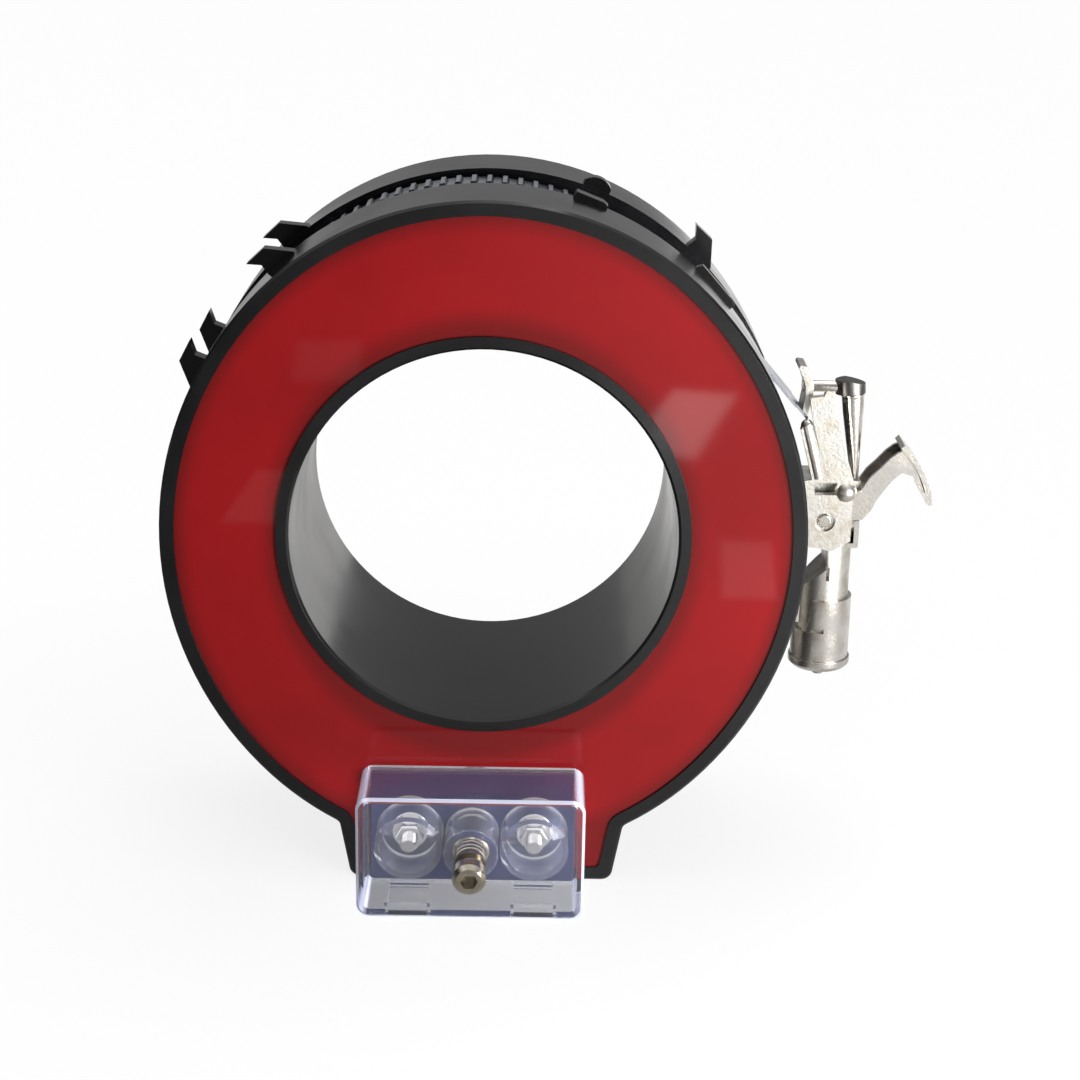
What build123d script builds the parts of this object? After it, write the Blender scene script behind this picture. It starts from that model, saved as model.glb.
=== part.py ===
from build123d import *
import math
import os

os.makedirs("parts", exist_ok=True)

# Resin-cast ring current transformer with a base, a clear terminal cover and a
# quick-release strap lock. Millimetres, +Z up. The origin is the centre of the
# bore at mid depth; the terminals face -Y and the strap lock is at +X.

# Ring case
bore_radius = 60.0
ring_depth = 87.5
ring_wall = 39.8
case_rise = 6.7
case_drop = 1.8
outer_wall = 4.6
bore_wall = 4.0
back_wall = 4.0
rim_chamfer = 0.8
bore_chamfer = 0.8

# Base
base_reach = 7.7
foot_half_width = 42.0
base_flare = 4.8
notch_rise = 26.0
foot_round = 3.6
notch_round = 2.6
pocket_foot_round = 2.0
base_pocket_depth = 28.0

# Strap groove round the case
groove_width = 28.0
groove_depth = 5.0
groove_shift = 1.0
groove_skin = 2.1
groove_clearance = 0.6

# Moulded clips beside the groove
clip_height = 6.9
clip_root = 9.8
clip_reach = 7.6
clip_width = 5.0
clip_sink = 1.4
front_clip_setback = 9.5
rear_clip_setback = 3.8
knob_height = 3.4
knob_length = 9.0
bar_width = 2.4
bar_height = 1.9
long_bar_length = 17.0
tab_length = 11.0
tab_overhang = 3.2

# Resin, core and winding
resin_recess = 0.8
core_inner_cover = 1.8
core_outer_cover = 2.0
core_setback = 19.75
wrap_thickness = 0.8
winding_thickness = 1.9
lead_radius = 0.9

# Terminal block, studs and shroud
terminal_shift = -2.7
terminal_rise = 19.3
block_front = 4.4
block_round = 1.2
stud_radius = 2.5
stud_depth = 14.0
stud_reach = 10.0
washer_radius = 5.6
washer_thickness = 1.0
nut_across_flats = 8.0
nut_thickness = 4.0
dome_radius = 10.8
dome_wall = 2.2
dome_length = 12.0
dome_rise = 3.2
ring_guard_radius = 8.6
ring_guard_length = 16.0
guard_clearance = 0.6
dome_guard_gap = 0.4
shroud_web = 1.6
seat_clearance = 0.1

# Sealing screw, its bush and its insert
screw_thread_radius = 3.0
screw_collar_radius = 5.0
screw_neck_radius = 4.0
screw_head_radius = 5.2
screw_collar_length = 1.8
screw_neck_length = 3.9
screw_head_length = 5.6
screw_socket = 5.0
screw_socket_depth = 4.0
seal_hole_radius = 0.8
bush_radius = 5.7
bush_setback = 2.3
insert_radius = 5.4
insert_depth = 14.0

# Clear terminal cover
dome_side_gap = 2.65
cover_height = 40.7
cover_depth = 24.6
cover_overlap = 1.8
cover_wall = 2.2
cover_corner = 4.2
cover_edge = 0.9
cover_lift = 0.3
cover_fit = 0.4
cover_hole_clearance = 0.25
knockout_width = 12.4
knockout_length = 14.0
knockout_setback = 2.6
knockout_wall = 0.9
knockout_rib = 1.0
knockout_rib_height = 1.4

# Strap
strap_thickness = 0.8
strap_width = 18.0
strap_gap = 0.1
ridge_pitch = 4.9
ridge_height = 1.2
ridge_width = 12.0
ridge_foot = 3.2
ridge_slope = 60
strap_tail_angle = 5.0
bow_low_angle = 68.0
bow_high_angle = 130.0
bow_rise = 2.4

# Strap lock: its outlines are drawn in lock units, across from the drum's axis and up
# from the bore's
lock_unit = 1.0
lock_standoff = 11.6
lock_width = 18.0
cheek_thickness = 3.0
beam_width = 6.0
spigot_shift = 3.9
spigot_radius = 2.4
spigot_bottom_z = -22.0
spigot_length = 10.5
pin_shift = -1.85
pin_z = -4.05
pin_radius = 1.6
pin_head_radius = 2.3
pin_head_thickness = 0.9
pin_recess_radius = 3.3
pin_recess_depth = 1.3
running_clearance = 0.05
prong_radius = 2.0
prong_bulge = 0.6
prong_length = 18.0
prong_shift = -4.6
prong_z = 10.5
prong_lean = 15.1
ball_radius = 3.6
ball_height = 1.8
ball_shift = 4.4
ball_z = 5.9

# Release lever and its spring
eye_radius = 4.0
flange_thickness = 1.4
flange_gap = 8.4
pad_radius = 35.3
pad_thickness = 1.7
pad_low_angle = 9.0
pad_high_angle = 46.0
pad_width = 13.0
coil_wire = 0.4
coil_radius = 2.3
coil_pitch = 2.0

# Tension sleeve, its spindle, the trunnion cap, crossbar and hook plate
key_shift = 5.8
key_top_z = 36.8
key_tilt = 4.4
key_length = 28.2
key_head_radius = 3.85
key_tip_radius = 1.35
key_lip = 0.8
key_step = 0.25
key_barrel = 6.4
spindle_radius = 0.8
spindle_length = 32.4
cap_length = 9.7
cap_width = 8.2
cap_height = 4.8
cap_shift = -0.7
cap_slant = 1.6
axial_clearance = 0.1
crossbar_radius = 1.8
crossbar_z = 38.9
crossbar_seat = 2.0
hook_width = 11.0
hook_foot_shift = -10.44
hook_foot_z = 31.1
hook_lap = 4.2

# Screw housing, drum and draw rod
tube_radius = 8.4
tube_bore_radius = 7.0
tube_bore_top_z = -36.0
saddle_thickness = 1.6
saddle_low_angle = -33.0
saddle_high_angle = 5.0
web_width = 7.0
drum_radius = 9.6
drum_top_z = -31.8
drum_bottom_z = -53.0
end_cap_radius = 10.2
end_cap_thickness = 3.6
end_cap_chamfer = 1.3
rod_radius = 1.9
rod_collar_radius = 6.0
rod_collar_thickness = 1.5
rod_reach = 3.6
spring_wire = 0.8
spring_radius = 5.8
spring_pitch = 3.6
keeper_width = 10.0
keeper_thickness = 1.6
keeper_low_z = -14.2
keeper_high_z = -4.9

# Places worked out from the sizes
front_y = -ring_depth / 2
back_y = ring_depth / 2
case_half_width = bore_radius + ring_wall
case_half_height = case_half_width + case_rise
base_height = case_half_height + case_drop + base_reach
notch_drop = base_height - notch_rise
terminal_drop = base_height - terminal_rise
groove_front_y = groove_shift - groove_width / 2
groove_back_y = groove_shift + groove_width / 2
groove_wall = groove_depth + groove_skin
ledge_y = groove_front_y - groove_skin
wound_thickness = wrap_thickness + winding_thickness
core_inner_radius = bore_radius + bore_wall + core_inner_cover + wound_thickness
core_outer_radius = case_half_width - groove_wall - core_outer_cover - wound_thickness
core_front_y = front_y + core_setback
swell = case_rise / (2 - math.sqrt(2))
side_arc = case_half_width + swell
cap_arc = case_half_height - swell
resin_y = front_y + resin_recess
pocket_back_y = back_y - back_wall
block_y = front_y - block_front
cover_bottom_z = -base_height + cover_lift
terminal_pitch = 2 * (dome_radius + dome_guard_gap + ring_guard_radius)
cover_width = terminal_pitch + 2 * (dome_radius + dome_side_gap + cover_wall)
block_width = cover_width - 2 * (cover_wall + cover_fit)
block_height = cover_height - cover_wall - cover_fit
block_z = cover_bottom_z + block_height / 2
lock_y = groove_shift
lock_x = case_half_width + lock_standoff
lock_front_y = lock_y - lock_width / 2
pin_x = lock_x + pin_shift
terminal_xs = (terminal_shift - terminal_pitch / 2, terminal_shift + terminal_pitch / 2)
strap_outer = groove_depth - strap_thickness
saddle_inner = strap_outer - ridge_height - strap_gap


def at_depth(y):
    """X-Z plane at depth y, facing the terminals, so a negative extrusion runs rearwards."""
    return Plane.XZ.offset(-y)


def oval(inset, mode=Mode.ADD):
    """Four tangent arcs, the case outline moved inwards by inset."""
    with BuildLine() as rim:
        CenterArc((-swell, -case_drop), side_arc - inset, -45, 90)
        CenterArc((0, swell - case_drop), cap_arc - inset, 45, 90)
        CenterArc((swell, -case_drop), side_arc - inset, 135, 90)
        CenterArc((0, -swell - case_drop), cap_arc - inset, 225, 90)
    make_face(rim.edges(), mode=mode)


def arc_at(angle):
    """Centre and radius of the case arc that this angle falls on."""
    quarter = int((angle % 360 + 45) // 90) % 4
    centres = ((-swell, 0), (0, swell), (swell, 0), (0, -swell))
    return (centres[quarter][0], centres[quarter][1] - case_drop), (side_arc, cap_arc)[quarter % 2]


def surface(angle, inset=0.0):
    """Point on the oval, by the angle about its own arc centre."""
    centre, radius = arc_at(angle)
    along = math.radians(angle)
    return centre[0] + (radius - inset) * math.cos(along), centre[1] + (radius - inset) * math.sin(along)


def case_outline(inset, foot_fillet, notch_fillet):
    """Oval ring standing on its tapered base, moved inwards by inset."""
    slope = base_flare / (base_height - notch_drop)
    side_inset = inset * math.hypot(1, slope)
    low = base_height - inset
    high = base_height - 2 * (base_height - notch_drop)
    low_half = foot_half_width + (base_height - low) * slope - side_inset
    high_half = foot_half_width + (base_height - high) * slope - side_inset
    oval(inset)
    with BuildLine() as stand:
        Polyline((-low_half, -low), (low_half, -low), (high_half, -high), (-high_half, -high), close=True)
    make_face(stand.edges())
    fillet(vertices().sort_by(Axis.Y)[2:4], notch_fillet)
    fillet(vertices().sort_by(Axis.Y)[0:2], foot_fillet)


def pocket(start_y, mode=Mode.ADD):
    """Space inside the case from depth start_y back, narrower behind the groove's front."""
    for near, far, inset in ((start_y, ledge_y, outer_wall), (ledge_y, pocket_back_y, groove_wall)):
        with BuildSketch(at_depth(near)) as section:
            oval(inset)
            Circle(bore_radius + bore_wall, mode=Mode.SUBTRACT)
        extrude(section.sketch, amount=near - far, mode=mode)
    with BuildSketch(at_depth(start_y)) as section:
        case_outline(outer_wall, pocket_foot_round, notch_round + outer_wall)
        Circle(bore_radius + bore_wall, mode=Mode.SUBTRACT)
    extrude(section.sketch, amount=start_y - front_y - base_pocket_depth, mode=mode)


def write(name, solid):
    """Label a finished piece and write it to its own file."""
    solid.label = name
    export_step(solid, "parts/" + name + ".step")


def clip(angle, y, side):
    """Moulded hook on the case; its beak leans the side way round the ring."""
    x, z = surface(angle)
    along = math.radians(angle)
    around = (-math.sin(along), 0, math.cos(along))
    with BuildSketch(Plane((x, y, z), x_dir=around, z_dir=(0, 1, 0))) as section:
        with BuildLine():
            Polyline(
                (-side * clip_root * 0.62, -clip_sink),
                (-side * clip_root * 0.6, 0.3),
                (-side * clip_root * 0.28, clip_height * 0.52),
                (side * 0.4, clip_height),
                (side * clip_reach, clip_height * 0.97),
                (side * clip_root * 0.44, clip_height * 0.5),
                (side * clip_root * 0.48, -clip_sink),
                close=True,
            )
        make_face()
    extrude(section.sketch, amount=clip_width / 2, both=True)


def knob(angle, y):
    """Low rounded guide on the case."""
    x, z = surface(angle)
    along = math.radians(angle)
    around = (-math.sin(along), 0, math.cos(along))
    half = knob_length / 2
    with BuildSketch(Plane((x, y, z), x_dir=around, z_dir=(0, 1, 0))) as section:
        with BuildLine():
            Polyline((-half, knob_height * 0.4), (-half, -clip_sink), (half, -clip_sink), (half, knob_height * 0.4))
            ThreePointArc((half, knob_height * 0.4), (0, knob_height), (-half, knob_height * 0.4))
        make_face()
    extrude(section.sketch, amount=clip_width / 2, both=True)


def bar(angle, length, overhang=0.0):
    """Low bar along the groove's front edge, reaching over the groove where it overhangs."""
    x, z = surface(angle)
    along = math.radians(angle)
    around = (-math.sin(along), 0, math.cos(along))
    edge_plane = Plane((x, groove_front_y - bar_width, z), x_dir=around, z_dir=(0, 1, 0))
    for low, width in ((-clip_sink, bar_width), (0, bar_width + overhang)):
        with BuildSketch(edge_plane) as section:
            with BuildLine():
                Polyline(
                    (-length * 0.5, low),
                    (length * 0.5, low),
                    (length * 0.44, bar_height),
                    (-length * 0.36, bar_height * 0.8),
                    (-length * 0.5, bar_height * 0.4),
                    close=True,
                )
            make_face()
        extrude(section.sketch, amount=width)


# Case: one moulding with the bore tube, outer wall, rear wall, base and clips
with BuildPart() as case:
    with BuildSketch(at_depth(front_y)):
        case_outline(0, foot_round, notch_round)
        Circle(bore_radius, mode=Mode.SUBTRACT)
    extrude(amount=-ring_depth)
    ends = case.faces().filter_by(Axis.Y).sort_by(Axis.Y)
    chamfer([edge for end in (ends[0], ends[-1]) for edge in end.outer_wire().edges()], rim_chamfer)
    ends = case.faces().filter_by(Axis.Y).sort_by(Axis.Y)
    chamfer([edge for end in (ends[0], ends[-1]) for edge in end.inner_wires()[0].edges()], bore_chamfer)
    with BuildSketch(at_depth(groove_front_y)):
        oval(-groove_clearance)
        oval(groove_depth, mode=Mode.SUBTRACT)
    extrude(amount=-groove_width, mode=Mode.SUBTRACT)
    pocket(front_y, Mode.SUBTRACT)
    for clip_y in (groove_front_y - front_clip_setback, groove_back_y + rear_clip_setback):
        clip(131.5, clip_y, 1)
        clip(154.0, clip_y, -1)
    clip(45.5, groove_back_y + rear_clip_setback, 1)
    knob(69.3, groove_back_y + rear_clip_setback)
    bar(43.0, long_bar_length)
    bar(71.0, tab_length, tab_overhang)
write("case", case.part)


# Wound core, its tape and the copper winding, one inside the other on the rear wall
core_back_y = pocket_back_y - wound_thickness


def wound_ring(margin, mode=Mode.ADD):
    """Ring of rectangular section about the bore axis, grown by margin over the core."""
    with BuildSketch(at_depth(core_front_y - margin)) as section:
        Circle(core_outer_radius + margin)
        Circle(core_inner_radius - margin, mode=Mode.SUBTRACT)
    extrude(section.sketch, amount=core_front_y - core_back_y - 2 * margin, mode=mode)


with BuildPart() as core:
    wound_ring(0)
write("core", core.part)

with BuildPart() as core_tape:
    wound_ring(wrap_thickness)
    wound_ring(0, Mode.SUBTRACT)
write("core_tape", core_tape.part)

with BuildPart() as winding:
    wound_ring(wound_thickness)
    wound_ring(wrap_thickness, Mode.SUBTRACT)
write("secondary_winding", winding.part)

# Terminal studs, their nuts and washers, and the leads back to the winding
winding_outer = core_outer_radius + wound_thickness
lead_bend_y = (front_y + stud_depth + front_y + base_pocket_depth) / 2
studs = []
leads = []
for side, x in zip(("left", "right"), terminal_xs):
    with BuildPart() as stud:
        with BuildSketch(at_depth(block_y - stud_reach)):
            with Locations((x, -terminal_drop)):
                Circle(stud_radius)
        extrude(amount=-(stud_reach + block_front + stud_depth))
        chamfer(stud.edges().filter_by(GeomType.CIRCLE).sort_by(Axis.Y)[0], stud_radius * 0.2)
    write("terminal_stud_" + side, stud.part)
    studs.append(stud.part)

    with BuildPart() as washer:
        with BuildSketch(at_depth(block_y)):
            with Locations((x, -terminal_drop)):
                Circle(washer_radius)
                Circle(stud_radius + seat_clearance, mode=Mode.SUBTRACT)
        extrude(amount=washer_thickness)
        chamfer(washer.faces().sort_by(Axis.Y)[0].outer_wire().edges(), washer_thickness * 0.3)
    write("terminal_washer_" + side, washer.part)

    with BuildPart() as nut:
        with BuildSketch(at_depth(block_y - washer_thickness)):
            with Locations((x, -terminal_drop)):
                RegularPolygon(nut_across_flats / 2, 6, major_radius=False)
                Circle(stud_radius + seat_clearance, mode=Mode.SUBTRACT)
        extrude(amount=nut_thickness)
        chamfer(nut.faces().sort_by(Axis.Y)[0].outer_wire().edges(), nut_thickness * 0.12)
    write("terminal_nut_" + side, nut.part)

    lead_end_z = -math.sqrt((winding_outer + seat_clearance) ** 2 - (abs(x) - lead_radius) ** 2)
    stud_end_y = front_y + stud_depth
    with BuildPart() as lead:
        with BuildLine() as route:
            Polyline(
                (x, stud_end_y, -terminal_drop),
                (x, lead_bend_y, -terminal_drop),
                (x, lead_bend_y, lead_end_z),
            )
        with BuildSketch(Plane(route.line @ 0, z_dir=route.line % 0)):
            Circle(lead_radius)
        sweep(transition=Transition.RIGHT)
    write("winding_lead_" + side, lead.part)
    leads.append(lead.part)

# Terminal block, moulded in one with the screw insert's seat
with BuildPart() as block:
    with BuildSketch(at_depth(front_y)):
        with Locations((terminal_shift, block_z)):
            Rectangle(block_width, block_height)
    extrude(amount=block_front)
    fillet(block.edges().filter_by(Axis.Y), block_round)
    chamfer(block.faces().sort_by(Axis.Y)[0].edges(), block_round / 2)
    with BuildSketch(at_depth(block_y)):
        with Locations(*[(x, -terminal_drop) for x in terminal_xs]):
            Circle(stud_radius)
        with Locations((terminal_shift, -terminal_drop)):
            Circle(insert_radius)
    extrude(amount=-block_front, mode=Mode.SUBTRACT)
write("terminal_block", block.part)

# Clear shroud: two domed caps over the terminals and a guard ring round the bush
guard_y = block_y - ring_guard_length
crown = (dome_radius ** 2 + dome_rise ** 2) / (2 * dome_rise)
crown_y = crown - dome_length - dome_rise
hollow_radius = dome_radius - dome_wall


def crown_arc(radius, reach):
    """Arc of a dome's crown, from its side in to its axis."""
    side = crown_y - math.sqrt(reach ** 2 - radius ** 2)
    middle = crown_y - math.sqrt(reach ** 2 - radius ** 2 / 4)
    return (radius, side), (radius / 2, middle), (0, crown_y - reach)


with BuildPart() as shroud:
    outside = crown_arc(dome_radius, crown)
    inside = crown_arc(hollow_radius, crown - dome_wall)
    for x in terminal_xs:
        with BuildSketch(Plane((x, block_y, -terminal_drop), x_dir=(1, 0, 0), z_dir=(0, 0, 1))):
            with BuildLine():
                Polyline(inside[0], (hollow_radius, 0), (dome_radius, 0), outside[0])
                ThreePointArc(*outside)
                Line(outside[2], inside[2])
                ThreePointArc(*inside)
            make_face()
        revolve(axis=Axis((x, block_y, -terminal_drop), (0, 1, 0)))
    with BuildSketch(at_depth(block_y)):
        with Locations((terminal_shift, -terminal_drop)):
            Circle(ring_guard_radius)
            Circle(bush_radius + guard_clearance, mode=Mode.SUBTRACT)
    extrude(amount=ring_guard_length)
    with BuildSketch(at_depth(block_y)):
        with Locations((terminal_shift, -terminal_drop)):
            Rectangle(terminal_pitch - 2 * dome_radius + dome_wall, shroud_web)
            Circle((ring_guard_radius + bush_radius + guard_clearance) / 2, mode=Mode.SUBTRACT)
    extrude(amount=dome_length - shroud_web)
write("terminal_shroud", shroud.part)

# Clear terminal cover, open at the back and cut away under the block
cover_back_y = block_y + cover_overlap
cover_front_y = cover_back_y - cover_depth
cover_z = cover_bottom_z + cover_height / 2
floor_z = cover_bottom_z + cover_wall
cavity_z = (floor_z + cover_bottom_z + cover_height - cover_wall) / 2
with BuildPart() as cover:
    with BuildSketch(at_depth(cover_back_y)):
        with Locations((terminal_shift, cover_z)):
            RectangleRounded(cover_width, cover_height, cover_corner)
    extrude(amount=cover_depth)
    chamfer(cover.faces().sort_by(Axis.Y)[0].edges(), cover_edge)
    with BuildSketch(at_depth(cover_back_y)):
        with Locations((terminal_shift, cavity_z)):
            RectangleRounded(cover_width - 2 * cover_wall, cover_height - 2 * cover_wall, cover_corner - cover_wall)
    extrude(amount=cover_depth - cover_wall, mode=Mode.SUBTRACT)
    with BuildSketch(at_depth(cover_back_y)):
        with Locations((terminal_shift, cavity_z - cover_wall)):
            Rectangle(cover_width - 2 * cover_wall, cover_height - 2 * cover_wall)
    extrude(amount=cover_overlap + cover_fit, mode=Mode.SUBTRACT)
    with BuildSketch(at_depth(cover_front_y)):
        with Locations((terminal_shift, -terminal_drop)):
            Circle(screw_thread_radius + cover_hole_clearance)
    extrude(amount=-cover_wall, mode=Mode.SUBTRACT)
    panel_y = cover_front_y + cover_wall + knockout_setback + knockout_length / 2
    for x in terminal_xs:
        with BuildSketch(Plane.XY.offset(floor_z)):
            with Locations((x, panel_y)):
                Rectangle(knockout_width + 2 * knockout_rib, knockout_length + 2 * knockout_rib)
                Rectangle(knockout_width, knockout_length, mode=Mode.SUBTRACT)
        extrude(amount=knockout_rib_height)
        with BuildSketch(Plane.XY.offset(floor_z)):
            with Locations((x, panel_y)):
                Rectangle(knockout_width, knockout_length)
        extrude(amount=knockout_wall - cover_wall, mode=Mode.SUBTRACT)
write("terminal_cover", cover.part)

# Threaded insert, spacer bush and sealing screw
bush_y = guard_y + bush_setback
bush_front_y = cover_front_y + cover_wall
neck_y = cover_front_y - screw_collar_length
head_y = neck_y - screw_neck_length
with BuildPart() as insert:
    with BuildSketch(at_depth(block_y)):
        with Locations((terminal_shift, -terminal_drop)):
            Circle(insert_radius)
            Circle(screw_thread_radius, mode=Mode.SUBTRACT)
    extrude(amount=-(block_front + insert_depth))
write("screw_insert", insert.part)

with BuildPart() as bush:
    with BuildSketch(at_depth(block_y)):
        with Locations((terminal_shift, -terminal_drop)):
            Circle(bush_radius)
    extrude(amount=block_y - bush_y)
    chamfer(bush.faces().sort_by(Axis.Y)[0].edges(), (bush_radius - screw_collar_radius) / 2)
    with BuildSketch(at_depth(bush_y)):
        with Locations((terminal_shift, -terminal_drop)):
            Circle(screw_collar_radius)
    extrude(amount=bush_y - bush_front_y)
    with BuildSketch(at_depth(block_y)):
        with Locations((terminal_shift, -terminal_drop)):
            Circle(screw_thread_radius + seat_clearance)
    extrude(amount=block_y - bush_front_y, mode=Mode.SUBTRACT)
write("spacer_bush", bush.part)


def turned(y, radius, length, mode=Mode.ADD):
    """One step of a turned part on the screw's axis, from depth y towards the front."""
    with BuildSketch(at_depth(y)) as section:
        with Locations((terminal_shift, -terminal_drop)):
            Circle(radius)
    extrude(section.sketch, amount=length, mode=mode)


thread_end_y = front_y + insert_depth - 1
with BuildPart() as sealing_screw:
    turned(thread_end_y, screw_thread_radius, thread_end_y - cover_front_y)
    turned(cover_front_y, screw_collar_radius, screw_collar_length)
    turned(neck_y, screw_neck_radius, screw_neck_length)
    turned(head_y, screw_head_radius, screw_head_length)
    nose = sealing_screw.faces().sort_by(Axis.Y)[0]
    chamfer(nose.edges(), screw_head_radius * 0.25)
    with BuildSketch(at_depth(head_y - screw_head_length)):
        with Locations((terminal_shift, -terminal_drop)):
            RegularPolygon(screw_socket / 2, 6, major_radius=False)
    extrude(amount=-screw_socket_depth, mode=Mode.SUBTRACT)
    with BuildSketch(Plane.YZ.offset(terminal_shift - screw_neck_radius)):
        with Locations(((neck_y + head_y) / 2, -terminal_drop)):
            Circle(seal_hole_radius)
    extrude(amount=2 * screw_neck_radius, mode=Mode.SUBTRACT)
write("sealing_screw", sealing_screw.part)

# Resin, filling the pocket round the winding, leads, studs and insert
with BuildPart() as resin:
    pocket(resin_y)
    wound_ring(wound_thickness, Mode.SUBTRACT)
    for piece in studs + leads:
        add(piece, mode=Mode.SUBTRACT)
    turned(front_y + insert_depth, insert_radius, insert_depth, Mode.SUBTRACT)
write("resin_fill", resin.part)

# Strap: a band in the groove, open on the right between its tail and the lock, with a
# straight run to the lock and a cross ridge at every pitch. On top it bows off the floor.
loop_centre, loop_arc = arc_at(0)
loop_radius = loop_arc - (strap_outer + groove_depth) / 2
foot_x = lock_x + hook_foot_shift - loop_centre[0]
foot_z = hook_foot_z - loop_centre[1]
leave = math.atan2(foot_z, foot_x) + math.acos(loop_radius / math.hypot(foot_x, foot_z))
leave_angle = math.degrees(leave)
run_length = math.sqrt(foot_x ** 2 + foot_z ** 2 - loop_radius ** 2)
leave_point = surface(leave_angle, (strap_outer + groove_depth) / 2)
run_plane = Plane(
    (leave_point[0], lock_y, leave_point[1]),
    x_dir=(math.sin(leave), 0, -math.cos(leave)),
    z_dir=(0, -1, 0),
)


# The bow is an arc through both its feet on the groove's floor, raised in the middle
top_centre, top_arc = arc_at(90)
floor_arc = top_arc - groove_depth
bow_middle = math.radians((bow_low_angle + bow_high_angle) / 2)
bow_flatness = 1 - math.cos(math.radians(bow_high_angle - bow_low_angle) / 2)
bow_shift = bow_rise * (bow_rise + 2 * floor_arc) / (2 * floor_arc * bow_flatness + 2 * bow_rise)
bow_radius = floor_arc + bow_rise - bow_shift
bow_centre = (
    top_centre[0] + bow_shift * math.cos(bow_middle),
    top_centre[1] + bow_shift * math.sin(bow_middle),
)


def bow_lift(angle):
    """How far the strap stands off the groove's floor at an angle."""
    if not bow_low_angle < angle < bow_high_angle:
        return 0.0
    aside = math.radians(angle) - bow_middle
    reach = bow_shift * math.cos(aside) + math.sqrt(bow_radius ** 2 - (bow_shift * math.sin(aside)) ** 2)
    return reach - floor_arc


def sector(centre, start, end, reach, mode=Mode.INTERSECT):
    """Pie slice about a centre between two angles, wide of anything within reach."""
    corners = []
    for turn in (start, (start + end) / 2, end):
        along = math.radians(turn)
        corners.append((centre[0] + reach * math.cos(along), centre[1] + reach * math.sin(along)))
    with BuildLine() as edge:
        Polyline(centre, *corners, close=True)
    make_face(edge.edges(), mode=mode)


with BuildPart() as strap:
    with BuildSketch(at_depth(lock_y - strap_width / 2)):
        oval(strap_outer)
        oval(groove_depth, mode=Mode.SUBTRACT)
        sector(loop_centre, strap_tail_angle, leave_angle, 2 * side_arc, Mode.SUBTRACT)
        sector(top_centre, bow_low_angle, bow_high_angle, 2 * side_arc, Mode.SUBTRACT)
    extrude(amount=-strap_width)
    with BuildSketch(at_depth(lock_y - strap_width / 2)):
        with Locations(bow_centre):
            Circle(bow_radius + strap_thickness)
            Circle(bow_radius, mode=Mode.SUBTRACT)
        sector(top_centre, bow_low_angle, bow_high_angle, 2 * side_arc)
    extrude(amount=-strap_width)
    with BuildSketch(run_plane):
        with Locations((run_length / 2 - hook_lap, 0)):
            Rectangle(run_length, strap_thickness)
    extrude(amount=strap_width / 2, both=True)
    with BuildSketch(run_plane):
        with Locations((run_length / 2, 0)):
            Rectangle(run_length + hook_lap, strap_thickness)
    extrude(amount=hook_width / 2, both=True)
    with BuildSketch(at_depth(lock_y - ridge_width / 2)):
        angle = leave_angle + math.degrees(ridge_pitch / side_arc)
        while angle < 360 + strap_tail_angle - 1:
            place = surface(angle, strap_outer + strap_thickness / 2 - bow_lift(angle))
            with Locations(Location((place[0], place[1]), angle - 90)):
                Trapezoid(
                    ridge_foot, ridge_height + strap_thickness / 2, ridge_slope, align=(Align.CENTER, Align.MIN)
                )
            angle += math.degrees(ridge_pitch / arc_at(angle)[1])
    extrude(amount=-ridge_width)
write("strap", strap.part)


def lock_outline(points, mode=Mode.ADD):
    """Face in the X-Z plane from places in lock units across from the drum's axis."""
    with BuildLine() as edge:
        Polyline(*[(lock_x + lock_unit * across, lock_unit * up) for across, up in points], close=True)
    make_face(edge.edges(), mode=mode)


def pin_step(y, radius, length, mode=Mode.ADD):
    """Disc on the lever's pin axis, from depth y rearwards."""
    with BuildSketch(at_depth(y)) as section:
        with Locations((pin_x, pin_z)):
            Circle(radius)
    extrude(section.sketch, amount=-length, mode=mode)


def lock_disc(z, radius, height, shift=0.0, mode=Mode.ADD):
    """Upright disc on the drum's axis, or shifted from it, from height z upwards."""
    with BuildSketch(Plane.XY.offset(z)) as section:
        with Locations((lock_x + shift, lock_y)):
            Circle(radius)
    extrude(section.sketch, amount=height, mode=mode)


# Key axis of the tension sleeve, leaning towards the case
key_lean = math.radians(key_tilt)
key_x = lock_x + key_shift
key_plane = Plane(
    (key_x, lock_y, key_top_z),
    x_dir=(math.cos(key_lean), 0, math.sin(key_lean)),
    z_dir=(-math.sin(key_lean), 0, math.cos(key_lean)),
)
key_section = Plane(key_plane.origin, x_dir=key_plane.x_dir, z_dir=(0, -1, 0))
key_axis = Axis(key_plane.origin, key_plane.z_dir)

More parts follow.
